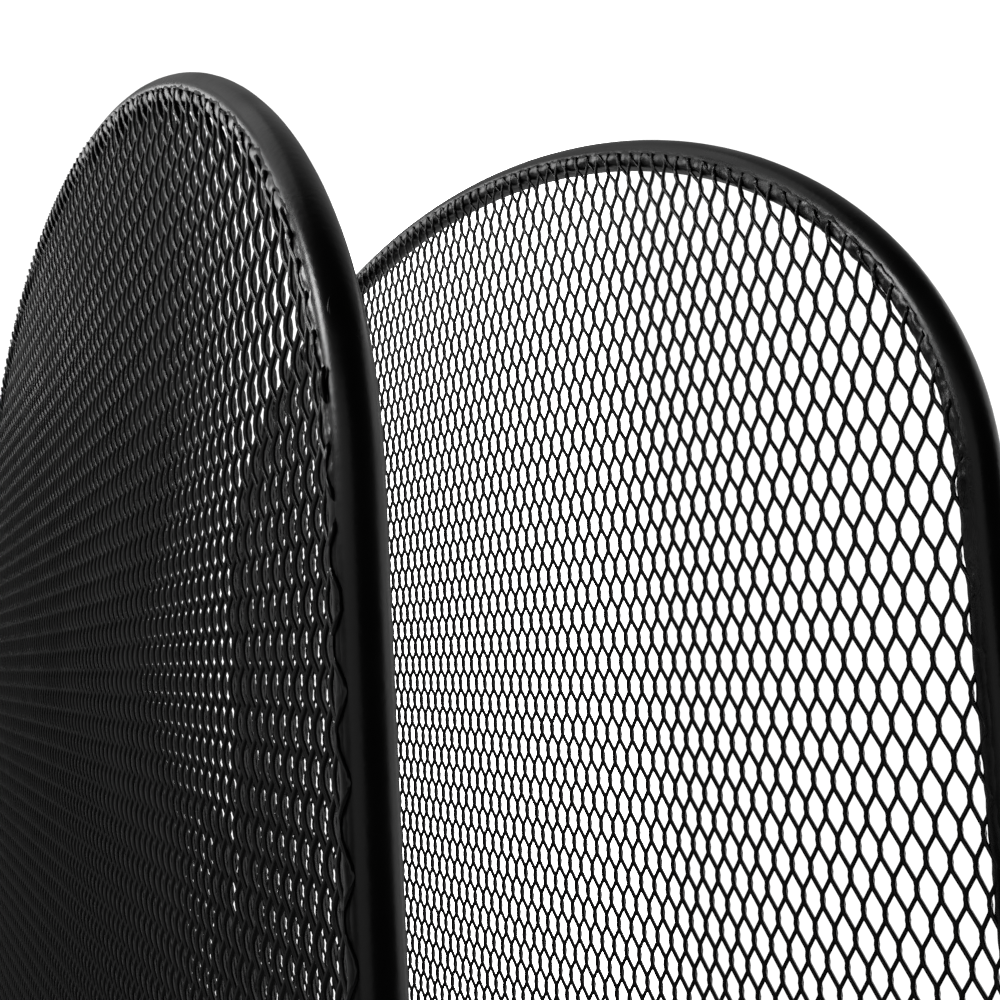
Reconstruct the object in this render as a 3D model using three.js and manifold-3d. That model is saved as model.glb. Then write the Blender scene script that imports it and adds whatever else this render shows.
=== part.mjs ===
// Folding fireplace screen of black coated steel: two wide round-topped leaves stand parallel on
// either side of a narrow, lower centre leaf and swing out on pinned hinges to cover the hearth.
// Millimetres, +Z up. The origin is on the floor, in the middle of the folded screen.
// X runs along the folded leaves, with their free edges at +X and the centre leaf at -X.

import * as THREE from 'three';
import { mergeVertices } from 'three/addons/utils/BufferGeometryUtils.js';
import Module from 'manifold-3d';

const wasm = await Module();
wasm.setup();

// ---- driving dimensions ----
const ROD_RADIUS = 3.2;              // round bar of every rim and rail
const LEAF_HEIGHT = 640;             // floor to the top of a wide leaf
const LEAF_HALF_WIDTH = 206;         // middle of a wide leaf to the middle of its rim
const LEAF_RISE = 99;                // height of its half-ellipse arch
const LEAF_SPACING = 97;             // between the planes of the two folded wide leaves
const CENTRE_HEIGHT = 470;           // floor to the top of the centre leaf
const CENTRE_RISE = 30;              // height of its arch
const RAIL_HEIGHT = 45;              // floor to the middle of a bottom rail
const MESH_THICKNESS = 1.2;          // raised expanded mesh, over its strands
const MESH_OFFSET = 2.5;             // the sheet lies this far in front of its rim's middle plane
const KNUCKLE_RADIUS = 4.2;
const KNUCKLE_LENGTH = 12;
const KNUCKLES_PER_HINGE = 3;        // the middle one belongs to the wide leaf
const WEB_THICKNESS = 3;             // plate that joins a knuckle to its rod
const PIN_RADIUS = 1.9;
const PIN_HEAD_RADIUS = 4;
const PIN_HEAD_HEIGHT = 2.4;
const PIN_END_RADIUS = 3.2;
const PIN_END_HEIGHT = 1.6;
const HINGE_INSET = 55;              // hinge to the rail below it, or to the arch above it
const FOOT_HEIGHT = 13;
const FOOT_FLOOR = 3;                // solid bottom of a foot, under the leg
const FOOT_BEVEL = 0.8;

// ---- clearances ----
const SEAT_GAP = 0.3;                // where one piece seats on, in or around another
const KNUCKLE_PLAY = 0.4;            // between neighbouring knuckles
const SWING_GAP = 0.5;               // a knuckle to a rod that swings past it
const FOOT_PLAY = 0.9;               // between the two feet at a folded corner

// ---- faceting ----
const ROD_SIDES = 16;
const LEAF_ARCH_STEPS = 48;
const CENTRE_ARCH_STEPS = 24;
const ROUND_SIDES = 24;

// ---- sizes that follow ----
const HINGE_REACH = ROD_RADIUS + SWING_GAP + KNUCKLE_RADIUS;   // pin axis to either rod
const FOOT_RADIUS = HINGE_REACH / Math.SQRT2 - FOOT_PLAY / 2;
const POCKET_RADIUS = ROD_RADIUS + SEAT_GAP;
const LEG_BOTTOM = FOOT_FLOOR + SEAT_GAP;
const MESH_INSET = ROD_RADIUS + SEAT_GAP;
const CENTRE_HALF_WIDTH = LEAF_SPACING / 2 - HINGE_REACH;
const LEAF_X = HINGE_REACH / 2;
const HINGE_X = LEAF_X - LEAF_HALF_WIDTH - HINGE_REACH;
const KNUCKLE_PITCH = KNUCKLE_LENGTH + KNUCKLE_PLAY;
const STACK_HALF_HEIGHT = (KNUCKLES_PER_HINGE * KNUCKLE_PITCH - KNUCKLE_PLAY) / 2;

const wideLeaf = {
  halfWidth: LEAF_HALF_WIDTH,
  rise: LEAF_RISE,
  spring: LEAF_HEIGHT - ROD_RADIUS - LEAF_RISE,
  steps: LEAF_ARCH_STEPS,
};
const centreLeaf = {
  halfWidth: CENTRE_HALF_WIDTH,
  rise: CENTRE_RISE,
  spring: CENTRE_HEIGHT - ROD_RADIUS - CENTRE_RISE,
  steps: CENTRE_ARCH_STEPS,
};

// ---- finishes ----
const coatedSteel = new THREE.MeshStandardMaterial({ color: 0x151516, roughness: 0.42, metalness: 0.2 });
const coatedMesh = new THREE.MeshStandardMaterial({ color: 0x111112, roughness: 0.5, metalness: 0.2 });
const blackSteel = new THREE.MeshStandardMaterial({ color: 0x1c1c1d, roughness: 0.35, metalness: 0.6 });
const footPlastic = new THREE.MeshStandardMaterial({ color: 0x121212, roughness: 0.7, metalness: 0 });

// ---- helpers ----
function toSolid(geometry) {
  const bare = geometry.clone();
  bare.deleteAttribute('normal');
  bare.deleteAttribute('uv');
  const merged = mergeVertices(bare);
  return new wasm.Manifold(new wasm.Mesh({
    numProp: 3,
    vertProperties: new Float32Array(merged.attributes.position.array),
    triVerts: new Uint32Array(merged.index.array),
  }));
}

function toGeometry(solid) {
  const mesh = solid.getMesh();
  const geometry = new THREE.BufferGeometry();
  geometry.setAttribute('position', new THREE.BufferAttribute(new Float32Array(mesh.vertProperties), 3));
  geometry.setIndex(new THREE.BufferAttribute(new Uint32Array(mesh.triVerts), 1));
  geometry.computeVertexNormals();
  return geometry;
}

function uprightCylinder(radius, length, x = 0) {
  return new THREE.CylinderGeometry(radius, radius, length, ROUND_SIDES)
    .rotateX(Math.PI / 2)
    .translate(x, 0, 0);
}

function addPiece(parent, name, geometry, material) {
  const piece = new THREE.Mesh(geometry, material);
  piece.name = name;
  parent.add(piece);
  return piece;
}

// The rim's centre line: up one leg, over the half-ellipse and down the other leg.
// A leg is one step long and the arch has the leaf's number of steps.
class RimPath extends THREE.Curve {
  constructor(leaf) {
    super();
    this.leaf = leaf;
  }

  getPoint(t, target = new THREE.Vector3()) {
    const { halfWidth, rise, spring, steps } = this.leaf;
    const step = t * (steps + 2);
    if (step < 1) {
      return target.set(-halfWidth, 0, LEG_BOTTOM + step * (spring - LEG_BOTTOM));
    }
    if (step > steps + 1) {
      return target.set(halfWidth, 0, spring - (step - steps - 1) * (spring - LEG_BOTTOM));
    }
    const angle = Math.PI * (1 - (step - 1) / steps);
    return target.set(halfWidth * Math.cos(angle), 0, spring + rise * Math.sin(angle));
  }

  getPointAt(u, target) {
    return this.getPoint(u, target);
  }

  getTangentAt(u, target) {
    return this.getTangent(u, target);
  }
}

function rimGeometry(leaf) {
  const section = new THREE.Shape();
  section.absarc(0, 0, ROD_RADIUS, 0, 2 * Math.PI);
  return new THREE.ExtrudeGeometry(section, {
    steps: leaf.steps + 2,
    curveSegments: ROD_SIDES / 2,       // three.js takes twice as many on a full circle
    extrudePath: new RimPath(leaf),
  });
}

// A rail runs between the legs, its ends coped to their round sides.
function railGeometry(leaf) {
  const rod = new THREE.CylinderGeometry(ROD_RADIUS, ROD_RADIUS, 2 * leaf.halfWidth, ROUND_SIDES)
    .rotateZ(Math.PI / 2);
  const cope = uprightCylinder(ROD_RADIUS + SEAT_GAP, 4 * ROD_RADIUS);
  const solid = toSolid(rod)
    .subtract(toSolid(cope.clone().translate(-leaf.halfWidth, 0, 0)))
    .subtract(toSolid(cope.clone().translate(leaf.halfWidth, 0, 0)));
  return toGeometry(solid).translate(0, 0, RAIL_HEIGHT);
}

// The sheet fills the leaf from its rail to the inside of its rim.
function meshGeometry(leaf) {
  const side = leaf.halfWidth - MESH_INSET;
  const bottom = RAIL_HEIGHT + ROD_RADIUS + SEAT_GAP;
  const outline = new THREE.Shape();
  outline.moveTo(-side, bottom);
  outline.lineTo(side, bottom);
  for (let i = 0; i <= leaf.steps; i += 1) {
    const angle = Math.PI * i / leaf.steps;
    const across = leaf.rise * Math.cos(angle);
    const up = leaf.halfWidth * Math.sin(angle);
    const length = Math.hypot(across, up);
    outline.lineTo(
      leaf.halfWidth * Math.cos(angle) - MESH_INSET * across / length,
      leaf.spring + leaf.rise * Math.sin(angle) - MESH_INSET * up / length,
    );
  }
  return new THREE.ExtrudeGeometry(outline, { depth: MESH_THICKNESS, bevelEnabled: false })
    .translate(0, 0, MESH_OFFSET - MESH_THICKNESS / 2)
    .rotateX(Math.PI / 2);
}

function footGeometry() {
  const profile = [
    [0, 0],
    [FOOT_RADIUS - FOOT_BEVEL, 0],
    [FOOT_RADIUS, FOOT_BEVEL],
    [FOOT_RADIUS, FOOT_HEIGHT - FOOT_BEVEL],
    [FOOT_RADIUS - FOOT_BEVEL / 2, FOOT_HEIGHT],
    [POCKET_RADIUS, FOOT_HEIGHT],
    [POCKET_RADIUS, FOOT_FLOOR],
    [0, FOOT_FLOOR],
  ].map(([radius, height]) => new THREE.Vector2(radius, height));
  return new THREE.LatheGeometry(profile, ROUND_SIDES).rotateX(Math.PI / 2);
}

// A knuckle is a bored barrel with a web that reaches, along +X, to the rod that carries it.
function knuckleGeometry() {
  const web = new THREE.BoxGeometry(HINGE_REACH, WEB_THICKNESS, KNUCKLE_LENGTH)
    .translate(HINGE_REACH / 2, 0, 0);
  const cutLength = 2 * KNUCKLE_LENGTH;
  const solid = toSolid(uprightCylinder(KNUCKLE_RADIUS, KNUCKLE_LENGTH))
    .add(toSolid(web))
    .subtract(toSolid(uprightCylinder(PIN_RADIUS + SEAT_GAP, cutLength)))
    .subtract(toSolid(uprightCylinder(ROD_RADIUS + SEAT_GAP, cutLength, HINGE_REACH)));
  return toGeometry(solid);
}

// The pin has a domed head above the knuckles and a flat peened end below them.
function pinGeometry() {
  const seat = STACK_HALF_HEIGHT + SEAT_GAP;
  const domeSteps = 5;
  const profile = [
    [0, -seat - PIN_END_HEIGHT],
    [PIN_END_RADIUS, -seat - PIN_END_HEIGHT],
    [PIN_END_RADIUS, -seat],
    [PIN_RADIUS, -seat],
    [PIN_RADIUS, seat],
  ];
  for (let i = 0; i <= domeSteps; i += 1) {
    const angle = Math.PI / 2 * i / domeSteps;
    const radius = i === domeSteps ? 0 : PIN_HEAD_RADIUS * Math.cos(angle);
    profile.push([radius, seat + PIN_HEAD_HEIGHT * Math.sin(angle)]);
  }
  const points = profile.map(([radius, height]) => new THREE.Vector2(radius, height));
  return new THREE.LatheGeometry(points, ROUND_SIDES).rotateX(Math.PI / 2);
}

// ---- leaves ----
function makeLeaf(name, leaf, footNames) {
  const group = new THREE.Group();
  addPiece(group, `${name}_rim`, rimGeometry(leaf), coatedSteel);
  addPiece(group, `${name}_bottom_rail`, railGeometry(leaf), coatedSteel);
  addPiece(group, `${name}_mesh`, meshGeometry(leaf), coatedMesh);
  footNames.forEach((footName, i) => {
    const foot = addPiece(group, `${name}_${footName}`, footGeometry(), footPlastic);
    foot.position.x = i === 0 ? -leaf.halfWidth : leaf.halfWidth;
  });
  return group;
}

// ---- hinges ----
// The outer knuckles turn their webs to the centre leaf and the middle one to the wide leaf.
function makeHinge(name, side) {
  const group = new THREE.Group();
  const levels = { lower_knuckle: -1, leaf_knuckle: 0, upper_knuckle: 1 };
  Object.entries(levels).forEach(([knuckleName, level]) => {
    const knuckle = addPiece(group, `${name}_${knuckleName}`, knuckleGeometry(), coatedSteel);
    knuckle.position.z = level * KNUCKLE_PITCH;
    knuckle.rotation.z = level === 0 ? 0 : -side * Math.PI / 2;
  });
  addPiece(group, `${name}_pin`, pinGeometry(), blackSteel);
  return group;
}

// ---- assembly ----
const screen = new THREE.Group();
const hingeHeights = { low: RAIL_HEIGHT + HINGE_INSET, high: centreLeaf.spring - HINGE_INSET };

const centre = makeLeaf('centre', centreLeaf, ['front_foot', 'back_foot']);
centre.rotation.z = Math.PI / 2;
centre.position.x = HINGE_X;
screen.add(centre);

Object.entries({ front: -1, back: 1 }).forEach(([name, side]) => {
  const leaf = makeLeaf(name, wideLeaf, ['hinge_foot', 'free_foot']);
  leaf.position.set(LEAF_X, side * LEAF_SPACING / 2, 0);
  screen.add(leaf);
  Object.entries(hingeHeights).forEach(([levelName, height]) => {
    const hinge = makeHinge(`${name}_${levelName}_hinge`, side);
    hinge.position.set(HINGE_X, side * LEAF_SPACING / 2, height);
    screen.add(hinge);
  });
});

export default screen;
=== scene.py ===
"""Folding fireplace screen in satin black powder coat.

Two wide round-topped leaves of raised expanded mesh stand parallel and swing on pinned hinges
from a narrow, lower centre leaf. Lengths are metres, +Z is up, and every piece is modelled at
its rest place. A leaf is modelled in its own plane (x across, y through, z up) and its meshes
are then placed, so that each object stays at the origin.
"""

import logging
import math
from collections.abc import Callable, Iterator
from contextlib import contextmanager
from dataclasses import dataclass, field
from enum import Enum

import bmesh
import bpy
import numpy as np
from mathutils import Matrix, Vector


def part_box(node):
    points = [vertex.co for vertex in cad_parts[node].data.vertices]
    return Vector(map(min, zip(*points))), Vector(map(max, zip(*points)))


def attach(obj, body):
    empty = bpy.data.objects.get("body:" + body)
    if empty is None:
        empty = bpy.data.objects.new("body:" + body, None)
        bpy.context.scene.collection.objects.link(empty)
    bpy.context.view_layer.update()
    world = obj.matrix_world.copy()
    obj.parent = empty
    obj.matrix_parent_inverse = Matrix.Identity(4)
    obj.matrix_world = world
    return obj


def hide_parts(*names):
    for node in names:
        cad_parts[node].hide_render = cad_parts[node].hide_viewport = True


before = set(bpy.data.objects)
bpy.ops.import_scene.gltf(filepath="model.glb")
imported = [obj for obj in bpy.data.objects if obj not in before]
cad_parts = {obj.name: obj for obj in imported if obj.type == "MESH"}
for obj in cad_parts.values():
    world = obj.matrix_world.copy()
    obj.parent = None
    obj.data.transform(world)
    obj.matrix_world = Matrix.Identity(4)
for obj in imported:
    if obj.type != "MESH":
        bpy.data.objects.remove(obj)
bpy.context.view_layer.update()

logging.basicConfig(level=logging.INFO, format="%(levelname)s %(message)s")
LOG = logging.getLogger("fireplace_screen")

Piece = bpy.types.Object
Socket = bpy.types.NodeSocket
Triple = tuple[float, float, float]

MM = 0.001
HAIR = 0.01 * MM  # nearer than this is the same place
PIT_DEPTH = 0.8  # of a coating's pits, as a share of its relief


class Slot(Enum):
    """The record's material slots."""

    ROD = "coated_rod"
    MESH = "coated_mesh"
    PIN = "hinge_pin"
    FOOT = "foot_plastic"


class Side(Enum):
    """Where a wide leaf stands when the screen is folded: the sign of its y."""

    FRONT = -1
    BACK = 1


def activate(piece: Piece) -> None:
    """Makes a piece the active object and the only selected one.

    Args:
        piece: The object.
    """
    bpy.ops.object.select_all(action="DESELECT")
    piece.select_set(True)
    bpy.context.view_layer.objects.active = piece


def name_new(name: str) -> Piece:
    """Names the object that was just added, and its mesh.

    Args:
        name: The piece's name.

    Returns:
        The new object.
    """
    piece = bpy.context.object
    piece.name = piece.data.name = name
    return piece


def add(operator: Callable[..., object], name: str, **settings: object) -> Piece:
    """Adds a primitive with nothing else selected.

    Args:
        operator: The operator that adds it.
        name: The new piece's name.
        **settings: The operator's own settings.

    Returns:
        The new object.
    """
    bpy.ops.object.select_all(action="DESELECT")
    operator(**settings)
    return name_new(name)


@contextmanager
def editing(piece: Piece) -> Iterator[None]:
    """Holds a piece in edit mode with nothing selected.

    Args:
        piece: The mesh object to edit.
    """
    activate(piece)
    bpy.ops.object.mode_set(mode="EDIT")
    bpy.ops.mesh.select_all(action="DESELECT")
    yield
    bpy.ops.object.mode_set(mode="OBJECT")


def pick(piece: Piece, kind: str, test: Callable[[Vector, Vector], bool]) -> None:
    """Selects, in edit mode, only the faces or the edges that pass a test.

    Args:
        piece: The mesh object in edit mode.
        kind: FACE or EDGE.
        test: Takes a face's centre and normal, or the places of an edge's two ends.
    """
    bpy.ops.mesh.select_mode(type=kind)
    bpy.ops.mesh.select_all(action="DESELECT")
    edit = bmesh.from_edit_mesh(piece.data)
    if kind == "FACE":
        for face in edit.faces:
            face.select_set(test(face.calc_center_median(), face.normal))
    else:
        for edge in edit.edges:
            edge.select_set(test(edge.verts[0].co, edge.verts[1].co))
    bmesh.update_edit_mesh(piece.data)


def face_outwards() -> None:
    """Turns every face of the piece in edit mode outwards."""
    bpy.ops.mesh.select_all(action="SELECT")
    bpy.ops.mesh.normals_make_consistent()


def extrude(step: Triple) -> None:
    """Extrudes the selected faces.

    Args:
        step: How far the new faces move.
    """
    bpy.ops.mesh.extrude_region_move(TRANSFORM_OT_translate={"value": step})


def grow(ratio: float, centre: Triple = (0.0, 0.0, 0.0)) -> None:
    """Scales what is selected across, and leaves its heights.

    Args:
        ratio: The scale along x and y.
        centre: The point that stays.
    """
    bpy.ops.transform.resize(value=(ratio, ratio, 1.0), center_override=centre)


def apply_transform(piece: Piece) -> None:
    """Puts an object's place, turn and scale into its mesh.

    Args:
        piece: The object.
    """
    activate(piece)
    bpy.ops.object.transform_apply()


def finish_with(piece: Piece, kind: str, **settings: object) -> None:
    """Adds a modifier and applies it.

    Args:
        piece: The mesh object.
        kind: Blender's name for the modifier.
        **settings: The modifier's own settings.
    """
    activate(piece)
    modifier = piece.modifiers.new(kind.lower(), kind)
    for key, value in settings.items():
        setattr(modifier, key, value)
    bpy.ops.object.modifier_apply(modifier=modifier.name)


def ripple(piece: Piece, depth: float, scale: float) -> None:
    """Roughens a surface with a thick coating's slow waves.

    Args:
        piece: The mesh object.
        depth: From the lowest to the highest wave.
        scale: Size of a wave.
    """
    waves = bpy.data.textures.new("coating_waves", type="CLOUDS")
    waves.noise_scale = scale
    finish_with(piece, "DISPLACE", texture=waves, texture_coords="LOCAL", strength=depth)
    bpy.data.textures.remove(waves)


def smooth(piece: Piece, degrees: float) -> None:
    """Shades a piece smooth except across sharp edges.

    Args:
        piece: The mesh object.
        degrees: Edges sharper than this stay crisp.
    """
    activate(piece)
    bpy.ops.object.shade_smooth_by_angle(angle=math.radians(degrees))


def copy_of(piece: Piece, name: str) -> Piece:
    """Copies a piece with a mesh of its own.

    Args:
        piece: The object to copy.
        name: The copy's name.

    Returns:
        The copy.
    """
    twin = piece.copy()
    twin.data = piece.data.copy()
    twin.name = twin.data.name = name
    bpy.context.scene.collection.objects.link(twin)
    return twin


def join(pieces: list[Piece], name: str) -> Piece:
    """Joins several meshes into one.

    Args:
        pieces: The objects, the first of which takes the others in.
        name: The joined piece's name.

    Returns:
        The joined object.
    """
    activate(pieces[0])
    for piece in pieces[1:]:
        piece.select_set(True)
    bpy.ops.object.join()
    return name_new(name)


def hand_over(piece: Piece, body: str, finish: bpy.types.Material,
              nodes: tuple[str, ...] = ()) -> None:
    """Dresses a finished piece and puts it on its body.

    Args:
        piece: The object, in place.
        body: The body that it moves with.
        finish: Its material.
        nodes: The CAD nodes that it stands for.
    """
    piece.data.materials.clear()
    piece.data.materials.append(finish)
    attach(piece, body)
    if nodes:
        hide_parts(*nodes)
    LOG.info("%s on %s, %d faces", piece.name, body, len(piece.data.polygons))


@dataclass
class Wiring:
    """A node tree while it is being wired."""

    tree: bpy.types.NodeTree

    @classmethod
    def start(cls, owner: bpy.types.Material | bpy.types.World) -> "Wiring":
        """Empties the tree of a material or a world.

        Args:
            owner: What the tree belongs to.

        Returns:
            The empty tree's wiring.
        """
        owner.use_nodes = True
        owner.node_tree.nodes.clear()
        return cls(owner.node_tree)

    def node(self, kind: str, **values: object) -> bpy.types.Node:
        """Adds a node and sets its inputs.

        Args:
            kind: The node's type.
            **values: Input values by socket name, with underscores for spaces.

        Returns:
            The node.
        """
        made = self.tree.nodes.new(kind)
        for key, value in values.items():
            made.inputs[key.replace("_", " ")].default_value = value
        return made

    def link(self, source: Socket, target: Socket) -> None:
        """Links two sockets.

        Args:
            source: An output.
            target: An input.
        """
        self.tree.links.new(source, target)

    def vector(self, operation: str, source: Socket, other: Triple = (0.0, 0.0, 0.0)) -> bpy.types.Node:
        """Does one step of vector arithmetic.

        Args:
            operation: The step.
            source: The first vector.
            other: The second vector, where there is one.

        Returns:
            The node.
        """
        made = self.node("ShaderNodeVectorMath")
        made.operation = operation
        self.link(source, made.inputs[0])
        made.inputs[1].default_value = other
        return made

    def ramp(self, source: Socket, low: float, high: float, bottom: float = 0.0,
             top: float = 1.0) -> Socket:
        """Maps one range of a value smoothly on another.

        Args:
            source: The value.
            low: Where the range starts.
            high: Where it ends.
            bottom: The result at low.
            top: The result at high.

        Returns:
            The socket with the result.
        """
        made = self.node("ShaderNodeMapRange", From_Min=low, From_Max=high, To_Min=bottom, To_Max=top)
        made.interpolation_type = "SMOOTHSTEP"
        self.link(source, made.inputs["Value"])
        return made.outputs["Result"]

    def blend(self, output: str, mask: Socket, first: Socket, second: Socket) -> None:
        """Blends two shaders by a mask and puts them out.

        Args:
            output: The output node's type.
            mask: 0 for the first shader and 1 for the second.
            first: A shader.
            second: A shader.
        """
        made = self.node("ShaderNodeMixShader")
        for source, target in zip((mask, first, second), made.inputs):
            self.link(source, target)
        self.link(made.outputs["Shader"], self.node(output).inputs["Surface"])


def coating_group() -> bpy.types.NodeTree:
    """Builds, once, the surface of a baked powder coating.

    Returns:
        A group that takes a place and three scales, and puts out the skin's Height and a slow
        Cloud.
    """
    name = "powder_coating"
    if name in bpy.data.node_groups:
        return bpy.data.node_groups[name]
    group = bpy.data.node_groups.new(name, "ShaderNodeTree")
    sockets = (
        ("Place", "INPUT", "NodeSocketVector"), ("Peel Scale", "INPUT", "NodeSocketFloat"),
        ("Pit Scale", "INPUT", "NodeSocketFloat"), ("Pit Size", "INPUT", "NodeSocketFloat"),
        ("Height", "OUTPUT", "NodeSocketFloat"), ("Cloud", "OUTPUT", "NodeSocketFloat"),
    )
    for label, way, kind in sockets:
        group.interface.new_socket(label, in_out=way, socket_type=kind)
    net = Wiring(group)
    entry = net.node("NodeGroupInput")
    leave = net.node("NodeGroupOutput")
    peel = net.node("ShaderNodeTexNoise", Detail=3.0, Roughness=0.45)
    net.link(entry.outputs["Place"], peel.inputs["Vector"])
    net.link(entry.outputs["Peel Scale"], peel.inputs["Scale"])
    pits = net.node("ShaderNodeTexVoronoi")
    net.link(entry.outputs["Place"], pits.inputs["Vector"])
    net.link(entry.outputs["Pit Scale"], pits.inputs["Scale"])
    bowl = net.node("ShaderNodeMath")
    bowl.operation = "LESS_THAN"
    net.link(pits.outputs["Distance"], bowl.inputs[0])
    net.link(entry.outputs["Pit Size"], bowl.inputs[1])
    depth = net.node("ShaderNodeMath")
    depth.operation = "MULTIPLY_ADD"
    net.link(bowl.outputs["Value"], depth.inputs[0])
    depth.inputs[1].default_value = -PIT_DEPTH
    net.link(peel.outputs["Fac"], depth.inputs[2])
    net.link(depth.outputs["Value"], leave.inputs["Height"])
    cloud = net.node("ShaderNodeTexNoise", Scale=38.0, Detail=4.0, Roughness=0.6)
    net.link(entry.outputs["Place"], cloud.inputs["Vector"])
    net.link(cloud.outputs["Fac"], leave.inputs["Cloud"])
    return group


@dataclass(frozen=True)
class Coating:
    """A baked, moulded or blackened skin, its colour and its gloss."""

    name: str
    dark: Triple
    pale: Triple
    gloss_low: float
    gloss_high: float
    peel_scale: float
    pit_scale: float
    pit_size: float
    relief: float
    metallic: float = 0.0

    def material(self) -> bpy.types.Material:
        """Builds the material, once.

        Returns:
            The material.
        """
        if self.name in bpy.data.materials:
            return bpy.data.materials[self.name]
        made = bpy.data.materials.new(self.name)
        net = Wiring.start(made)
        output = net.node("ShaderNodeOutputMaterial")
        shader = net.node("ShaderNodeBsdfPrincipled", Metallic=self.metallic)
        place = net.node("ShaderNodeTexCoord")
        skin = net.node("ShaderNodeGroup")
        skin.node_tree = coating_group()
        scales = {"Peel Scale": self.peel_scale, "Pit Scale": self.pit_scale, "Pit Size": self.pit_size}
        for label, value in scales.items():
            skin.inputs[label].default_value = value
        net.link(place.outputs["Object"], skin.inputs["Place"])
        tone = net.ramp(skin.outputs["Cloud"], 0.35, 0.7)
        mix = net.node("ShaderNodeMix")
        mix.data_type = "RGBA"
        mix.inputs[6].default_value = (*self.dark, 1.0)
        mix.inputs[7].default_value = (*self.pale, 1.0)
        net.link(tone, mix.inputs[0])
        net.link(mix.outputs[2], shader.inputs["Base Color"])
        gloss = net.ramp(skin.outputs["Cloud"], 0.3, 0.7, self.gloss_low, self.gloss_high)
        net.link(gloss, shader.inputs["Roughness"])
        bump = net.node("ShaderNodeBump", Distance=self.relief)
        net.link(skin.outputs["Height"], bump.inputs["Height"])
        net.link(bump.outputs["Normal"], shader.inputs["Normal"])
        net.link(shader.outputs["BSDF"], output.inputs["Surface"])
        return made


ROD_COAT = Coating(
    "rod_powder_coat", dark=(0.003,) * 3, pale=(0.008,) * 3, gloss_low=0.24,
    gloss_high=0.38, peel_scale=900.0, pit_scale=240.0, pit_size=0.10, relief=0.035 * MM,
)
SEAM_COAT = Coating(
    "seam_powder_coat", dark=(0.003,) * 3, pale=(0.009,) * 3, gloss_low=0.22,
    gloss_high=0.38, peel_scale=700.0, pit_scale=420.0, pit_size=0.16, relief=0.07 * MM,
)
SHEET_COAT = Coating(
    "sheet_powder_coat", dark=(0.004,) * 3, pale=(0.010,) * 3, gloss_low=0.22,
    gloss_high=0.34, peel_scale=2200.0, pit_scale=300.0, pit_size=0.05, relief=0.02 * MM,
)
PIN_STEEL = Coating(
    "blackened_pin_steel", dark=(0.020, 0.020, 0.021), pale=(0.050, 0.049, 0.048), gloss_low=0.28,
    gloss_high=0.45, peel_scale=1500.0, pit_scale=500.0, pit_size=0.10, relief=0.02 * MM, metallic=0.7,
)
FOOT_RUBBER = Coating(
    "moulded_foot", dark=(0.014,) * 3, pale=(0.026,) * 3, gloss_low=0.6,
    gloss_high=0.78, peel_scale=1800.0, pit_scale=900.0, pit_size=0.12, relief=0.04 * MM,
)


@dataclass(frozen=True)
class ExpandedMesh:
    """Raised expanded metal: zigzag strands, bonded side by side where they meet."""

    long_way: float = 10 * MM  # bond to bond up a strand
    short_way: float = 5 * MM  # bond to bond across
    strand_width: float = 0.62 * MM
    strand_thickness: float = 0.7 * MM
    tilt: float = math.radians(60.0)  # strand width out of the sheet's plane
    bond_length: float = 2.2 * MM
    bond_swell: float = 0.09  # share of the swing at the ends of a bond
    bond_overlap: float = 0.02 * MM  # how far bonded strands run together

    @property
    def pitch(self) -> float:
        """Strand to strand across the sheet."""
        return self.short_way / 2

    def build_strand(self, height: float) -> Piece:
        """Models one open-ended strand, its left bonds on x = 0 and the lowest one at z = 0.

        Args:
            height: The least length of the strand.

        Returns:
            The strand.
        """
        reach = self.strand_width / 2 - self.bond_overlap
        across = reach * math.cos(self.tilt)
        through = reach * math.sin(self.tilt)
        swing = self.pitch - 2 * across
        half, bond, swell = self.long_way / 2, self.bond_length / 2, self.bond_swell
        stations = (
            (swell, -bond), (0.0, 0.0), (swell, bond),
            (1.0 - swell, half - bond), (1.0, half), (1.0 - swell, half + bond),
            (swell, self.long_way - bond),
        )
        start = (across + swell * swing, (2 * swell - 1.0) * through, -bond)
        strand = add(bpy.ops.mesh.primitive_plane_add, "strand_pattern", size=1.0, location=start,
                     rotation=(0.0, 0.0, -self.tilt))
        strand.scale = (self.strand_width, self.strand_thickness, 1.0)
        apply_transform(strand)
        with editing(strand):
            bpy.ops.mesh.select_all(action="SELECT")
            for (share, level), (next_share, next_level) in zip(stations, stations[1:]):
                move = next_share - share
                extrude((move * swing, move * 2 * through, next_level - level))
            bpy.ops.mesh.delete(type="FACE")
            pick(strand, "FACE", lambda centre, normal: centre.z < start[2] + HAIR)
            bpy.ops.mesh.delete(type="ONLY_FACE")
            face_outwards()
        finish_with(
            strand, "ARRAY", count=math.ceil(height / self.long_way) + 1, use_relative_offset=False,
            use_constant_offset=True, constant_offset_displace=(0.0, 0.0, self.long_way),
            use_merge_vertices=True, merge_threshold=HAIR,
        )
        return strand


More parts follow.
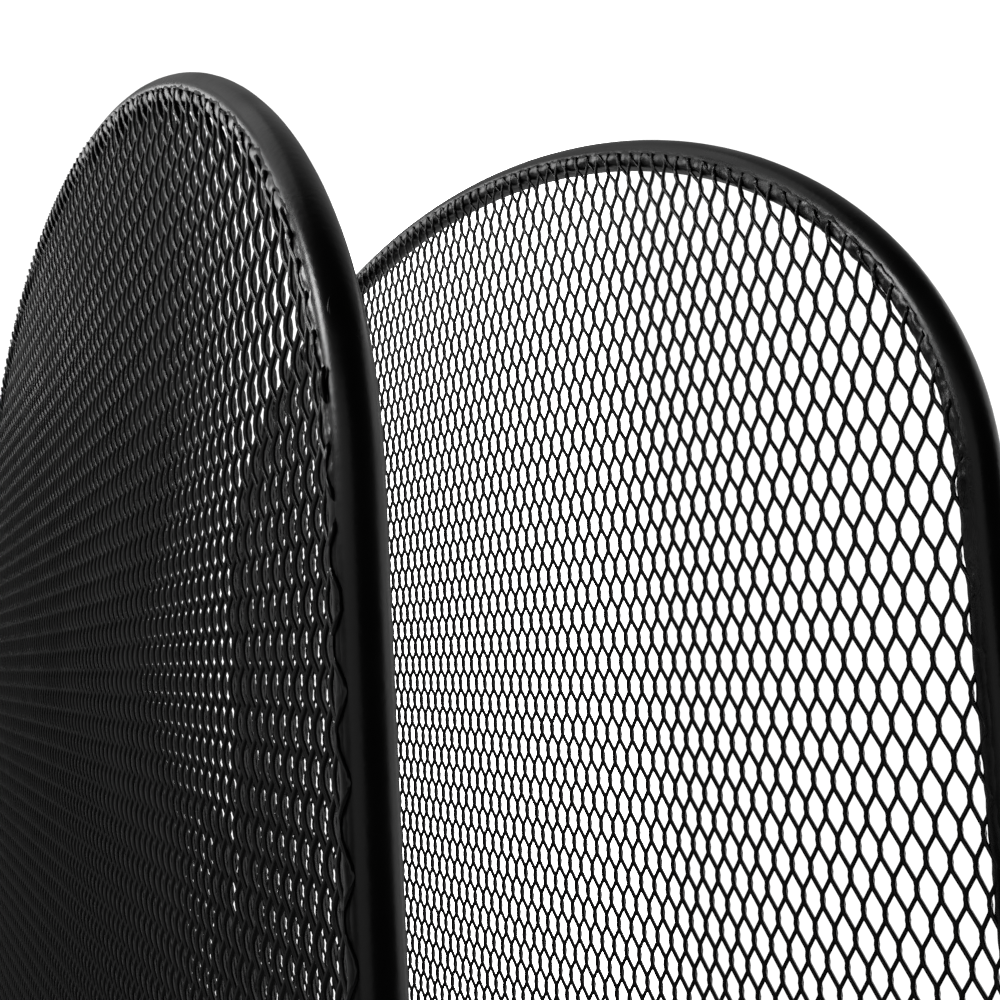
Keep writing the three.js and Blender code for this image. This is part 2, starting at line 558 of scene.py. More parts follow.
@dataclass(frozen=True)
class Outline:
    """The centre line of a rim: two straight legs and a half-ellipse arch."""

    half_width: float
    rise: float
    spring: float  # height at which the arch starts
    foot: float  # height of the legs' ends

    def measure(self, x: np.ndarray, z: np.ndarray) -> tuple[np.ndarray, ...]:
        """Finds how far inside the centre line points lie.

        Args:
            x: Places across the leaf.
            z: Heights.

        Returns:
            The distance inwards, the nearest point's x and z, and the inward direction's x and z.
        """
        angle = np.arctan2((z - self.spring) / self.rise, x / self.half_width)
        angle = np.clip(angle, 0.0, math.pi)
        for _ in range(6):
            ex, ez = self.half_width * np.cos(angle), self.rise * np.sin(angle)
            tx, tz = -self.half_width * np.sin(angle), self.rise * np.cos(angle)
            gap_x, gap_z = x - ex, z - self.spring - ez
            slope = tx * tx + tz * tz + gap_x * ex + gap_z * ez
            angle = np.clip(angle + (gap_x * tx + gap_z * tz) / np.maximum(slope, 1e-9), 0.0, math.pi)
        ex, ez = self.half_width * np.cos(angle), self.rise * np.sin(angle)
        nx, nz = -self.rise * np.cos(angle), -self.half_width * np.sin(angle)
        length = np.hypot(nx, nz)
        nx, nz = nx / length, nz / length
        on_leg = z <= self.spring
        side = np.where(x < 0.0, -1.0, 1.0)
        ex = np.where(on_leg, side * self.half_width, ex)
        ez = np.where(on_leg, z, ez + self.spring)
        nx = np.where(on_leg, -side, nx)
        nz = np.where(on_leg, 0.0, nz)
        return (x - ex) * nx + (z - ez) * nz, ex, ez, nx, nz


@dataclass
class Leaf:
    """One leaf: rim, bottom rail, expanded mesh with its bonded edge, and feet."""

    name: str
    body: str
    outline: Outline
    place: Matrix  # from the leaf's own frame to the screen's
    cell: tuple[float, float]  # x and z of the middle of one opening
    feet: tuple[str, str]  # at -x and at +x
    halves: tuple[str, ...]  # the sheet's pieces, from -x to +x
    rod_radius: float
    rail_height: float
    foot_radius: float
    foot_height: float
    sheet_offset: float  # y of the sheet's plane
    mesh: ExpandedMesh = field(default_factory=ExpandedMesh)
    rod_sides: int = 28
    path_steps: int = 64  # rings on each leg and each half of the arch
    bend_start: float = 5.0 * MM  # the sheet leaves its plane this far inside the rod's line
    wrap_radius: float = 3.42 * MM  # of the sheet's middle round the rod
    sheet_end: float = -0.3 * MM  # where the sheet is sheared, before it is bent
    pressed: float = 0.75  # share of its depth that it keeps at the rim
    press_start: float = 1.5 * MM
    press_end: float = 5.5 * MM
    bend_blend: float = 1.2 * MM  # the bend sets in over this length
    rail_lap: float = 0.3  # the sheet starts this share of a radius over the rail
    ring_step: float = 0.9 * MM  # extra rings where a strand bends
    extra_rings: int = 6
    seam_steps: int = 400  # rings on each part of the line
    seam_sides: int = 10
    seam_depth: float = 0.5 * MM  # of its middle over its edges
    seam_edge: float = 0.15 * MM  # its edges and its back lie this far under the skin
    seam_back: float = 0.5 * MM
    seam_from: float = math.radians(22.0)
    seam_to: float = math.radians(106.0)
    rail_cuts: int = 80
    rail_bite: float = 0.4  # share of a radius that it runs into a leg
    weld_radius: float = 1.15 * MM
    weld_rise: float = 0.2 * MM  # of its middle off the leg
    weld_saddle: float = 0.85  # how closely it follows the leg's round
    foot_play: float = 0.15 * MM
    foot_cuts: int = 11
    groove: tuple[float, float] = (0.52, 0.72)
    groove_waist: float = 0.93
    sole_round: float = 0.9 * MM
    lip_round: float = 0.6 * MM

    def settle(self, piece: Piece) -> Piece:
        """Moves a piece from the leaf's own frame to the screen's.

        Args:
            piece: A mesh object at the origin.

        Returns:
            The same object.
        """
        piece.data.transform(self.place)
        piece.data.update()
        return piece

    def sweep(self, name: str, section: Piece | None, steps: int) -> Piece:
        """Sweeps a round bar or a given section along the rim's centre line.

        Args:
            name: The piece's name.
            section: A closed flat curve, x inwards and y through the leaf, or None for the bar.
            steps: Rings on each leg and on each half of the arch.

        Returns:
            The swept piece, in the leaf's own frame.
        """
        line = self.outline
        path = add(bpy.ops.curve.primitive_bezier_curve_add, name)
        curve = path.data
        curve.dimensions = "2D"
        curve.resolution_u = steps
        spline = curve.splines[0]
        spline.bezier_points.add(3)
        handle = 4.0 / 3.0 * (math.sqrt(2.0) - 1.0)
        leg = (line.spring - line.foot) / 3.0
        lean, lift = handle * line.half_width, handle * line.rise
        side, top = line.half_width, line.spring + line.rise
        stations = (
            ((-side, line.foot), (-side, line.foot - leg), (-side, line.foot + leg)),
            ((-side, line.spring), (-side, line.spring - leg), (-side, line.spring + lift)),
            ((0.0, top), (-lean, top), (lean, top)),
            ((side, line.spring), (side, line.spring + lift), (side, line.spring - leg)),
            ((side, line.foot), (side, line.foot + leg), (side, line.foot - leg)),
        )
        for point, (spot, back, ahead) in zip(spline.bezier_points, stations):
            point.handle_left_type = point.handle_right_type = "FREE"
            point.co, point.handle_left, point.handle_right = (*spot, 0.0), (*back, 0.0), (*ahead, 0.0)
        curve.fill_mode = "NONE"
        curve.use_fill_caps = True
        if section is None:
            curve.bevel_depth = self.rod_radius
            curve.bevel_resolution = (self.rod_sides - 4) // 2
        else:
            curve.bevel_mode = "OBJECT"
            curve.bevel_object = section
        activate(path)
        bpy.ops.object.convert(target="MESH")
        path = name_new(name)
        path.matrix_world = Matrix.Rotation(math.pi / 2, 4, "X")
        apply_transform(path)
        with editing(path):
            bpy.ops.mesh.select_all(action="SELECT")
            bpy.ops.mesh.remove_doubles(threshold=HAIR / 2)
            face_outwards()
        return path

    def build_rim(self) -> Piece:
        """Bends the rim's round bar.

        Returns:
            The rim.
        """
        rim = self.sweep(f"{self.name}_bent_rim", None, self.path_steps)
        ripple(rim, depth=0.08 * MM, scale=9 * MM)
        smooth(rim, 50.0)
        return self.settle(rim)

    def build_seam(self) -> Piece:
        """Lays the lumpy coating that holds the strands' ends on the rim.

        Returns:
            The seam.
        """
        polar = []
        for step in range(self.seam_sides + 1):
            share = step / self.seam_sides
            swell = self.seam_depth * math.sin(math.pi * share)
            angle = self.seam_from + (self.seam_to - self.seam_from) * share
            polar.append((angle, self.rod_radius - self.seam_edge + swell))
        for angle in (self.seam_to, (self.seam_from + self.seam_to) / 2, self.seam_from):
            polar.append((angle, self.rod_radius - self.seam_back))
        section = add(bpy.ops.curve.primitive_bezier_curve_add, "seam_section")
        curve = section.data
        curve.dimensions = "2D"
        curve.splines.clear()
        ring = curve.splines.new("POLY")
        ring.points.add(len(polar) - 1)
        for point, (angle, radius) in zip(ring.points, polar):
            point.co = (radius * math.cos(angle), radius * math.sin(angle), 0.0, 1.0)
        ring.use_cyclic_u = True
        seam = self.sweep(f"{self.name}_rim_seam", section, self.seam_steps)
        bpy.data.objects.remove(section)
        ripple(seam, depth=0.6 * MM, scale=2.2 * MM)
        smooth(seam, 70.0)
        return self.settle(seam)

    def cut_strand(self, strand: Piece, middle: float, low: float) -> None:
        """Shears a strand to the leaf's outline and adds rings where it will bend.

        Args:
            strand: A strand that overshoots the outline, in place.
            middle: The x of the strand's middle.
            low: The height of the sheet's lower edge.
        """
        line = self.outline
        reach = line.half_width - self.sheet_end
        angle = math.acos(max(-1.0, min(1.0, middle / reach)))
        outward = Vector((line.rise * math.cos(angle), 0.0, line.half_width * math.sin(angle))).normalized()
        x = line.half_width * math.cos(angle)
        z = line.spring + line.rise * math.sin(angle)

        def cut(inset: float, clear: bool) -> None:
            """Cuts along the outline, inset from it, and may clear what lies outside."""
            bpy.ops.mesh.select_all(action="SELECT")
            bpy.ops.mesh.bisect(
                plane_co=(x - inset * outward.x, 0.0, z - inset * outward.z), plane_no=outward,
                use_fill=clear, clear_outer=clear,
            )

        with editing(strand):
            cut(self.sheet_end, True)
            bpy.ops.mesh.select_all(action="SELECT")
            bpy.ops.mesh.bisect(
                plane_co=(0.0, 0.0, low), plane_no=(0.0, 0.0, 1.0), use_fill=True, clear_inner=True,
            )
            for ring in range(1, self.extra_rings + 1):
                cut(self.sheet_end + ring * self.ring_step, False)

    def bend_edge(self, sheet: Piece) -> None:
        """Bends the sheet's edge out of its plane and round the front of the rim.

        Args:
            sheet: The flat sheet, in the leaf's own frame.
        """
        mesh = sheet.data
        spots = np.zeros(len(mesh.vertices) * 3)
        mesh.vertices.foreach_get("co", spots)
        spots = spots.reshape(-1, 3)
        depth, ex, ez, nx, nz = self.outline.measure(spots[:, 0], spots[:, 2])
        press = np.clip((depth - self.press_start) / (self.press_end - self.press_start), 0.0, 1.0)
        press = press * press * (3.0 - 2.0 * press)
        lift = spots[:, 1] * (self.pressed + (1.0 - self.pressed) * press)
        spots[:, 1] = self.sheet_offset + lift
        radius, start = self.wrap_radius, self.bend_start
        distance = math.hypot(start, self.sheet_offset)
        touch = math.atan2(-self.sheet_offset, start) + math.acos(radius / distance)
        run = math.sqrt(distance**2 - radius**2)
        travel = start - depth
        turn = touch + np.maximum(travel - run, 0.0) / radius
        along = np.clip(travel / run, 0.0, 1.0)
        line_in = start + (radius * math.cos(touch) - start) * along
        line_y = self.sheet_offset - (radius * math.sin(touch) + self.sheet_offset) * along
        round_part = travel > run
        inwards = np.where(round_part, radius * np.cos(turn), line_in) - lift * np.cos(turn)
        through = np.where(round_part, -radius * np.sin(turn), line_y) + lift * np.sin(turn)
        blend = np.clip(travel / self.bend_blend, 0.0, 1.0)
        inwards = depth + (inwards - depth) * blend
        through = spots[:, 1] + (through - spots[:, 1]) * blend
        bent = travel > 0.0
        spots[bent, 0] = (ex + nx * inwards)[bent]
        spots[bent, 2] = (ez + nz * inwards)[bent]
        spots[bent, 1] = through[bent]
        mesh.vertices.foreach_set("co", spots.ravel())
        mesh.update()

    def build_sheet(self) -> list[Piece]:
        """Lays strands side by side, shears them to the outline and bends the edge.

        Returns:
            The sheet's pieces, from -x to +x.
        """
        line, mesh = self.outline, self.mesh
        low = self.rail_height + self.rail_lap * self.rod_radius
        top = line.spring + line.rise - self.sheet_end
        pattern = mesh.build_strand(top - low + mesh.long_way)
        width = line.half_width - self.sheet_end
        first = math.floor((-width - self.cell[0]) / mesh.pitch)
        last = math.floor((width - self.cell[0]) / mesh.pitch)
        groups: list[list[Piece]] = [[] for _ in self.halves]
        for index in range(first, last + 1):
            left = self.cell[0] + index * mesh.pitch
            middle = left + mesh.pitch / 2
            if abs(middle) >= width:
                continue
            bond = self.cell[1] + (index + 1) % 2 * mesh.long_way / 2
            start = bond - mesh.long_way * math.ceil((bond - low) / mesh.long_way + 0.5)
            strand = copy_of(pattern, f"{self.name}_strand")
            strand.data.transform(Matrix.Translation((left, 0.0, start)))
            self.cut_strand(strand, middle, low)
            share = (middle + width) / (2 * width)
            groups[min(int(share * len(groups)), len(groups) - 1)].append(strand)
        bpy.data.objects.remove(pattern)
        made = []
        for half, strands in zip(self.halves, groups):
            sheet = join(strands, f"{self.name}_{half}")
            self.bend_edge(sheet)
            smooth(sheet, 100.0)
            made.append(self.settle(sheet))
        return made

    def build_rail(self) -> Piece:
        """Cuts the bottom rail to length and welds its ends.

        Returns:
            The rail with its welds.
        """
        turned = (0.0, math.pi / 2, 0.0)
        span = 2 * (self.outline.half_width - (1.0 - self.rail_bite) * self.rod_radius)
        rail = add(bpy.ops.mesh.primitive_cylinder_add, "rail_bar", vertices=self.rod_sides, depth=span,
                   radius=self.rod_radius, location=(0.0, 0.0, self.rail_height), rotation=turned)
        apply_transform(rail)
        with editing(rail):
            pick(rail, "EDGE", lambda one, two: abs(one.x - two.x) > span / 2)
            bpy.ops.mesh.subdivide(number_cuts=self.rail_cuts)
        parts = [rail]
        end = self.outline.half_width - self.rod_radius - self.weld_rise
        for side in (-1, 1):
            weld = add(bpy.ops.mesh.primitive_torus_add, "weld", major_segments=48, minor_segments=12,
                       major_radius=self.rod_radius, minor_radius=self.weld_radius,
                       location=(side * end, 0.0, self.rail_height), rotation=turned)
            apply_transform(weld)
            for vertex in weld.data.vertices:
                through = max(-self.rod_radius, min(self.rod_radius, vertex.co.y))
                round_off = self.rod_radius - math.sqrt(self.rod_radius**2 - through**2)
                vertex.co.x += side * round_off * self.weld_saddle
            ripple(weld, depth=0.6 * MM, scale=1.8 * MM)
            parts.append(weld)
        rail = join(parts, f"{self.name}_rail_bar")
        ripple(rail, depth=0.06 * MM, scale=9 * MM)
        smooth(rail, 50.0)
        return self.settle(rail)

    def build_foot(self, name: str, x: float) -> Piece:
        """Moulds a foot: a cup with a rounded lip and a grip groove.

        Args:
            name: The piece's name.
            x: The leg's place across the leaf.

        Returns:
            The foot.
        """
        radius, height = self.foot_radius, self.foot_height
        foot = add(bpy.ops.mesh.primitive_cylinder_add, name, vertices=48, radius=radius, depth=height,
                   location=(0.0, 0.0, height / 2))
        apply_transform(foot)
        skin = 0.97 * radius
        low, high = (share * height for share in self.groove)
        with editing(foot):
            pick(foot, "FACE", lambda centre, normal: normal.z > 0.9)
            bpy.ops.mesh.inset(thickness=radius - self.rod_radius - self.foot_play)
            extrude((0.0, 0.0, self.outline.foot - height))
            pick(foot, "EDGE", lambda one, two: abs(one.z - two.z) > 0.9 * height)
            bpy.ops.mesh.subdivide(number_cuts=self.foot_cuts)
            pick(foot, "FACE", lambda centre, normal: abs(normal.z) < 0.1 and low < centre.z < high
                 and centre.xy.length > 0.9 * radius)
            grow(self.groove_waist)
            pick(foot, "EDGE", lambda one, two: min(one.xy.length, two.xy.length) > skin
                 and max(one.z, two.z) < HAIR)
            bpy.ops.mesh.bevel(offset=self.sole_round, segments=4)
            pick(foot, "EDGE", lambda one, two: min(one.xy.length, two.xy.length) > skin
                 and min(one.z, two.z) > height - HAIR)
            bpy.ops.mesh.bevel(offset=self.lip_round, segments=4)
            face_outwards()
        smooth(foot, 40.0)
        foot.data.transform(Matrix.Translation((x, 0.0, 0.0)))
        return self.settle(foot)

    def build(self) -> None:
        """Builds, dresses and hands over every piece of the leaf."""
        rod, seam, sheet_coat = ROD_COAT.material(), SEAM_COAT.material(), SHEET_COAT.material()
        hand_over(self.build_rim(), self.body, rod, (f"{self.name}_rim",))
        hand_over(self.build_rail(), self.body, rod, (f"{self.name}_bottom_rail",))
        hand_over(self.build_seam(), self.body, seam)
        for sheet in self.build_sheet():
            hand_over(sheet, self.body, sheet_coat, (f"{self.name}_mesh",))
        for foot, x in zip(self.feet, (-self.outline.half_width, self.outline.half_width)):
            piece = self.build_foot(f"{self.name}_{foot}_moulding", x)
            hand_over(piece, self.body, FOOT_RUBBER.material(), (f"{self.name}_{foot}",))


@dataclass
class Hinge:
    """A pinned hinge: two knuckles on the centre leaf, one on a wide leaf, and a pin."""

    name: str
    leaf_body: str
    side: Side
    axis: Vector  # the middle of the pin's axis
    rod_radius: float
    knuckle_radius: float
    knuckle_length: float
    knuckle_pitch: float
    reach: float  # pin axis to either rod
    pin_length: float  # between its head and its peened end
    barrel_round: float = 0.5 * MM
    web_round: float = 0.3 * MM
    web_start: float = 0.8 * MM  # outside the bore
    web_bite: float = 0.35 * MM  # into the rod
    web_short: float = 0.8 * MM  # of the barrel's length
    pin_radius: float = 1.9 * MM
    bore_radius: float = 2.2 * MM
    web_thickness: float = 3 * MM
    head_radius: float = 4 * MM
    head_height: float = 2.4 * MM
    end_radius: float = 3.2 * MM
    end_height: float = 1.6 * MM
    round_sides: int = 40
    head_steps: int = 7

    def build_barrel(self) -> Piece:
        """Turns and bores the round part of a knuckle.

        Returns:
            The barrel, its axis on z.
        """
        barrel = add(bpy.ops.mesh.primitive_cylinder_add, "knuckle_barrel", vertices=self.round_sides,
                     radius=self.knuckle_radius, depth=self.knuckle_length)
        half = self.knuckle_length / 2
        with editing(barrel):
            pick(barrel, "EDGE", lambda one, two: abs(one.z - two.z) < HAIR)
            bpy.ops.mesh.bevel(offset=self.barrel_round, segments=3)
            pick(barrel, "FACE", lambda centre, normal: abs(centre.z) > half - HAIR
                 and abs(normal.z) > 0.9 and centre.xy.length < 10 * HAIR)
            bpy.ops.mesh.inset(thickness=self.knuckle_radius - self.barrel_round - self.bore_radius)
            bpy.ops.mesh.delete(type="FACE")
            bore = self.bore_radius + 5 * HAIR
            pick(barrel, "EDGE", lambda one, two: max(one.xy.length, two.xy.length) < bore)
            bpy.ops.mesh.bridge_edge_loops()
            face_outwards()
        return barrel

    def build_knuckle(self) -> Piece:
        """Makes a knuckle with a web along +x to a rod, and its welds.

        Returns:
            The knuckle, its bore on z.
        """
        barrel = self.build_barrel()
        start = self.bore_radius + self.web_start
        skin = self.reach - self.rod_radius
        end = skin + self.web_bite
        web = add(bpy.ops.mesh.primitive_cube_add, "knuckle_web", size=1.0,
                  location=((start + end) / 2, 0.0, 0.0))
        web.scale = (end - start, self.web_thickness, self.knuckle_length - self.web_short)
        apply_transform(web)
        with editing(web):
            pick(web, "EDGE", lambda one, two: abs(one.x - two.x) > HAIR or one.x + two.x > 2 * start)
            bpy.ops.mesh.bevel(offset=self.web_round, segments=2)
        parts = [barrel, web]
        for edge in (-1, 1):
            weld = add(bpy.ops.mesh.primitive_uv_sphere_add, "knuckle_weld", segments=20, ring_count=24)
            weld.scale = (0.9 * MM, 1.1 * MM, 0.47 * self.knuckle_length)
            weld.location = (skin, edge * (self.web_thickness / 2 + 0.1 * MM), 0.0)
            apply_transform(weld)
            ripple(weld, depth=0.5 * MM, scale=1.5 * MM)
            parts.append(weld)
        knuckle = join(parts, "knuckle_pattern")
        smooth(knuckle, 40.0)
        return knuckle

    def build_pin(self) -> Piece:
        """Forges the pin: a domed head above the knuckles and a peened end below them.

        Returns:
            The pin, its middle at the origin.
        """
        half = self.pin_length / 2
        pin = add(bpy.ops.mesh.primitive_cylinder_add, f"{self.name}_forged_pin",
                  vertices=self.round_sides, radius=self.pin_radius, depth=self.pin_length)
        with editing(pin):
            pick(pin, "FACE", lambda centre, normal: normal.z > 0.9)
            extrude((0.0, 0.0, 0.0))
            grow(self.head_radius / self.pin_radius, (0.0, 0.0, half))
            for step in range(self.head_steps):
                low, high = (math.pi / 2 * i / (self.head_steps + 0.4) for i in (step, step + 1))
                extrude((0.0, 0.0, self.head_height * (math.sin(high) - math.sin(low))))
                grow(math.cos(high) / math.cos(low), (0.0, 0.0, half))
            pick(pin, "FACE", lambda centre, normal: normal.z < -0.9 and centre.z < -half + HAIR)
            extrude((0.0, 0.0, 0.0))
            grow(self.end_radius / self.pin_radius, (0.0, 0.0, -half))
            extrude((0.0, 0.0, -0.6 * self.end_height))
            extrude((0.0, 0.0, -0.4 * self.end_height))
            grow(0.8, (0.0, 0.0, -half))
            bpy.ops.mesh.select_all(action="SELECT")
            bpy.ops.mesh.remove_doubles(threshold=HAIR / 10)
            face_outwards()
        smooth(pin, 45.0)
        return pin

    def build(self) -> None:
        """Builds, dresses and hands over the hinge's pieces."""
        rod = ROD_COAT.material()
        pattern = self.build_knuckle()
        levels = {"lower_knuckle": -1, "leaf_knuckle": 0, "upper_knuckle": 1}
        for kind, level in levels.items():
            node = f"{self.name}_{kind}"
            turn = 0.0 if level == 0 else -self.side.value * math.pi / 2
            spot = self.axis + Vector((0.0, 0.0, level * self.knuckle_pitch))
            knuckle = copy_of(pattern, f"{node}_welded")
            knuckle.data.transform(Matrix.Translation(spot) @ Matrix.Rotation(turn, 4, "Z"))
            body = self.leaf_body if level == 0 else "centre_leaf"
            hand_over(knuckle, body, rod, (node,))
        bpy.data.objects.remove(pattern)
        pin = self.build_pin()
        pin.data.transform(Matrix.Translation(self.axis))
        hand_over(pin, "centre_leaf", PIN_STEEL.material(), (f"{self.name}_pin",))


@dataclass
class FireplaceScreen:
    """The folding screen, its sizes read from the CAD part."""

    wide_rise: float = 99 * MM
    centre_rise: float = 30 * MM
    front_cell: tuple[float, float] = (197.43 * MM, 539.11 * MM)
    back_cell: tuple[float, float] = (163.21 * MM, 522.37 * MM)
    centre_cell: tuple[float, float] = (0.0, 400.0 * MM)

    def leaf(self, name: str, rise: float, cell: tuple[float, float], feet: tuple[str, str],
             halves: tuple[str, ...], turn: float) -> Leaf:
        """Reads a leaf's sizes from its CAD nodes.

        Args:
            name: front, back or centre.
            rise: The height of its arch.
            cell: The middle of one opening, in its own frame.
            feet: The names of its feet.
            halves: The names of its sheet's pieces.
            turn: The turn of its plane about z.

        Returns:
            The leaf.
        """
        low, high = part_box(f"{name}_rim")
        rail_low, rail_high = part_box(f"{name}_bottom_rail")
        foot_low, foot_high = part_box(f"{name}_{feet[0]}")
        radius = (rail_high.z - rail_low.z) / 2
        middle = (low + high) / 2
        span = max(high.x - low.x, high.y - low.y)
        outline = Outline(span / 2 - radius, rise, high.z - radius - rise, low.z)
        place = Matrix.Translation((middle.x, middle.y, 0.0)) @ Matrix.Rotation(turn, 4, "Z")
        sheet = sum(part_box(f"{name}_mesh"), Vector()) / 2
        return Leaf(
            name=name, body=f"{name}_leaf", outline=outline, place=place, cell=cell, feet=feet,
            halves=halves, rod_radius=radius, rail_height=(rail_low.z + rail_high.z) / 2,
            foot_radius=(foot_high.x - foot_low.x) / 2, foot_height=foot_high.z,
            sheet_offset=(place.inverted() @ sheet).y,
        )

    def hinge(self, leaf: Leaf, side: Side, level: str) -> Hinge:
        """Reads a hinge's place and sizes from its CAD nodes.

        Args:
            leaf: The wide leaf that it carries.
            side: Where that leaf stands.
            level: low or high.

        Returns:
            The hinge.
        """
        name = f"{leaf.name}_{level}_hinge"
        rod_x = leaf.place.translation.x - leaf.outline.half_width
        low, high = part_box(f"{name}_leaf_knuckle")
        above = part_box(f"{name}_upper_knuckle")
        pin_low, pin_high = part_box(f"{name}_pin")
        axis = Vector(((pin_low.x + pin_high.x) / 2, (low.y + high.y) / 2, (low.z + high.z) / 2))
        return Hinge(
            name=name, leaf_body=leaf.body, side=side, axis=axis, rod_radius=leaf.rod_radius,
            knuckle_radius=(high.y - low.y) / 2, knuckle_length=high.z - low.z,
            knuckle_pitch=above[0].z - low.z, reach=rod_x - axis.x,
            pin_length=2 * (pin_high.z - axis.z - Hinge.head_height),
        )

    def build(self) -> None:
        """Builds the three leaves and the four hinges."""
        sheet_halves = ("expanded_sheet_hinge_side", "expanded_sheet_middle", "expanded_sheet_free_side")
        wide_feet = ("hinge_foot", "free_foot")
        front = self.leaf("front", self.wide_rise, self.front_cell, wide_feet, sheet_halves, 0.0)
        back = self.leaf("back", self.wide_rise, self.back_cell, wide_feet, sheet_halves, 0.0)
        centre = self.leaf("centre", self.centre_rise, self.centre_cell, ("front_foot", "back_foot"),
                           ("expanded_sheet",), math.pi / 2)
        for leaf in (front, back, centre):
            leaf.build()
        for leaf, side in ((front, Side.FRONT), (back, Side.BACK)):
            for level in ("low", "high"):
                self.hinge(leaf, side, level).build()


LIGHT_TARGET = Vector((0.1, 0.0, 0.45))


@dataclass(frozen=True)
class Softbox:
    """A soft square light that the camera does not see."""

    name: str
    spot: Triple
    size: float
    power: float  # watts

    def hang(self) -> None:
        """Hangs the light and points it at the arches."""
        lamp = bpy.data.lights.new(self.name, type="AREA")
        lamp.size = self.size
        lamp.energy = self.power
        holder = bpy.data.objects.new(self.name, lamp)
        bpy.context.scene.collection.objects.link(holder)
        holder.location = self.spot
        holder.rotation_euler = (LIGHT_TARGET - Vector(self.spot)).to_track_quat("-Z", "Y").to_euler()
        holder.visible_camera = False


SOFTBOXES = (
    Softbox("far_softbox", spot=(-1.3, -0.6, 1.15), size=0.6, power=3.2),
    Softbox("top_softbox", spot=(-0.5, -0.5, 1.7), size=0.7, power=0.7),
    Softbox("left_softbox", spot=(-0.5, -1.4, 1.3), size=0.45, power=9.0),
    Softbox("left_wall", spot=(0.7, -1.9, 0.6), size=2.0, power=3.5),
    Softbox("right_softbox", spot=(0.2, 1.6, 0.7), size=1.8, power=8.0),
)


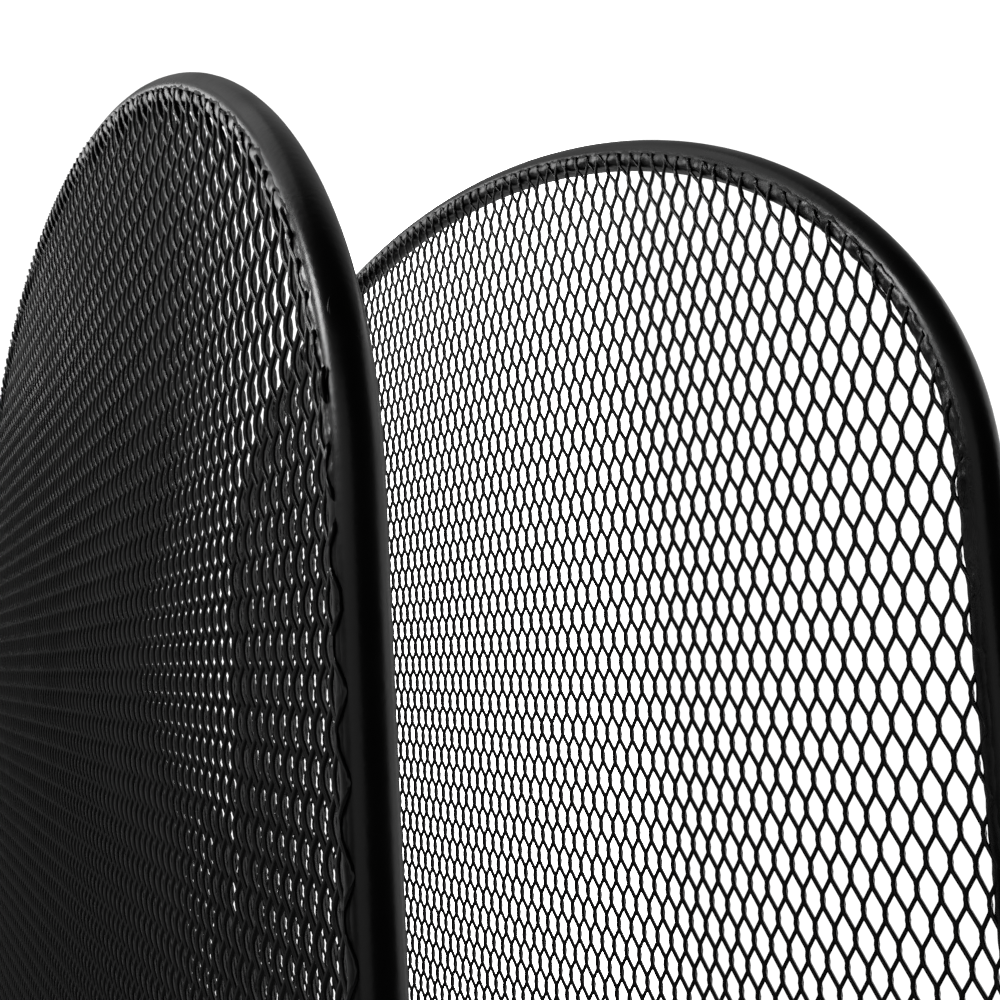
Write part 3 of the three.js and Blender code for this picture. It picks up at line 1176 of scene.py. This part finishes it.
@dataclass
class Studio:
    """Pale floor, white surround, soft lights and the camera."""

    camera_ahead: float = 347.4 * MM  # of the middle of the wide leaves, along +x
    camera_aside: float = -101.1 * MM
    camera_drop: float = 120.8 * MM  # below the top of the screen
    yaw: float = math.radians(26.51)
    pitch: float = math.radians(5.872)
    roll: float = math.radians(3.053)
    lens: float = 47.67
    floor_radius: float = 1.25
    floor_plain: float = 0.2  # share of the radius inside which it stays the same
    floor_white: float = 0.6  # share of white that it starts from
    surround_white: float = 1.15
    surround_glow: float = 6.0  # straight ahead, to flood the fine openings
    glow_wide: float = math.radians(7.3)
    glow_narrow: float = math.radians(2.8)
    surround_light: float = 0.3
    surround_dusk: float = 0.015  # behind the camera

    def build_floor(self) -> None:
        """Lays a round pale floor that fades to white at its rim."""
        floor = add(bpy.ops.mesh.primitive_circle_add, "studio_floor", vertices=96,
                    radius=self.floor_radius, fill_type="NGON")
        paint = bpy.data.materials.new("studio_floor_paint")
        net = Wiring.start(paint)
        matt = net.node("ShaderNodeBsdfDiffuse", Color=(0.86, 0.86, 0.86, 1.0))
        glow = net.node("ShaderNodeEmission")
        place = net.node("ShaderNodeTexCoord")
        distance = net.vector("LENGTH", place.outputs["Object"])
        fade = net.ramp(distance.outputs["Value"], self.floor_plain * self.floor_radius,
                        self.floor_radius, self.floor_white)
        path = net.node("ShaderNodeLightPath")
        net.link(path.outputs["Is Camera Ray"], glow.inputs["Strength"])
        net.blend("ShaderNodeOutputMaterial", fade, matt.outputs["BSDF"], glow.outputs["Emission"])
        floor.data.materials.append(paint)

    def axes(self) -> tuple[Vector, Vector, Vector]:
        """Works out the camera's axes.

        Returns:
            Its right, its up and its forward direction.
        """
        ahead = Vector((-math.cos(self.yaw), math.sin(self.yaw), 0.0))
        aside = Vector((math.sin(self.yaw), math.cos(self.yaw), 0.0))
        above = Vector((0.0, 0.0, 1.0))
        forward = math.cos(self.pitch) * ahead + math.sin(self.pitch) * above
        level_up = math.cos(self.pitch) * above - math.sin(self.pitch) * ahead
        right = math.cos(self.roll) * aside - math.sin(self.roll) * level_up
        up = math.sin(self.roll) * aside + math.cos(self.roll) * level_up
        return right, up, forward

    def build_world(self) -> None:
        """Makes the surround: white to look at, and brightest straight ahead."""
        world = bpy.data.worlds.new("studio_surround")
        bpy.context.scene.world = world
        net = Wiring.start(world)
        seen = net.node("ShaderNodeBackground", Color=(1.0, 1.0, 1.0, 1.0))
        lit = net.node("ShaderNodeBackground", Color=(1.0, 1.0, 1.0, 1.0))
        place = net.node("ShaderNodeTexCoord")
        forward = self.axes()[2]
        facing = net.vector("DOT_PRODUCT", place.outputs["Generated"], forward)
        light = net.ramp(facing.outputs["Value"], -0.1, 0.85, self.surround_dusk, self.surround_light)
        net.link(light, lit.inputs["Strength"])
        level = net.vector("MULTIPLY", place.outputs["Generated"], (1.0, 1.0, 0.0))
        heading = net.vector("NORMALIZE", level.outputs["Vector"])
        ahead = net.vector("DOT_PRODUCT", heading.outputs["Vector"],
                           Vector((forward.x, forward.y, 0.0)).normalized())
        glow = net.ramp(ahead.outputs["Value"], math.cos(self.glow_wide), math.cos(self.glow_narrow),
                        self.surround_white, self.surround_glow)
        net.link(glow, seen.inputs["Strength"])
        path = net.node("ShaderNodeLightPath")
        net.blend("ShaderNodeOutputWorld", path.outputs["Is Camera Ray"], lit.outputs["Background"],
                  seen.outputs["Background"])

    def build_camera(self, middle_x: float, top: float) -> None:
        """Sets the camera close to the free edges, looking slightly up.

        Args:
            middle_x: The middle of the wide leaves.
            top: The top of the screen.
        """
        right, up, forward = self.axes()
        data = bpy.data.cameras.new("view")
        data.lens = self.lens
        data.clip_start = 0.01
        holder = bpy.data.objects.new("view", data)
        bpy.context.scene.collection.objects.link(holder)
        turn = Matrix((right, up, -forward)).transposed().to_4x4()
        spot = Vector((middle_x + self.camera_ahead, self.camera_aside, top - self.camera_drop))
        holder.matrix_world = Matrix.Translation(spot) @ turn
        bpy.context.scene.camera = holder

    def build(self) -> None:
        """Builds the studio round the screen."""
        low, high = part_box("front_rim")
        middle_x = (low.x + high.x) / 2
        self.build_camera(middle_x, high.z)
        self.build_floor()
        self.build_world()
        for softbox in SOFTBOXES:
            softbox.hang()
        bpy.context.scene.view_settings.view_transform = "Standard"


def main() -> None:
    """Builds the studio and the screen."""
    Studio().build()
    FireplaceScreen().build()


if __name__ == "__main__":
    main()
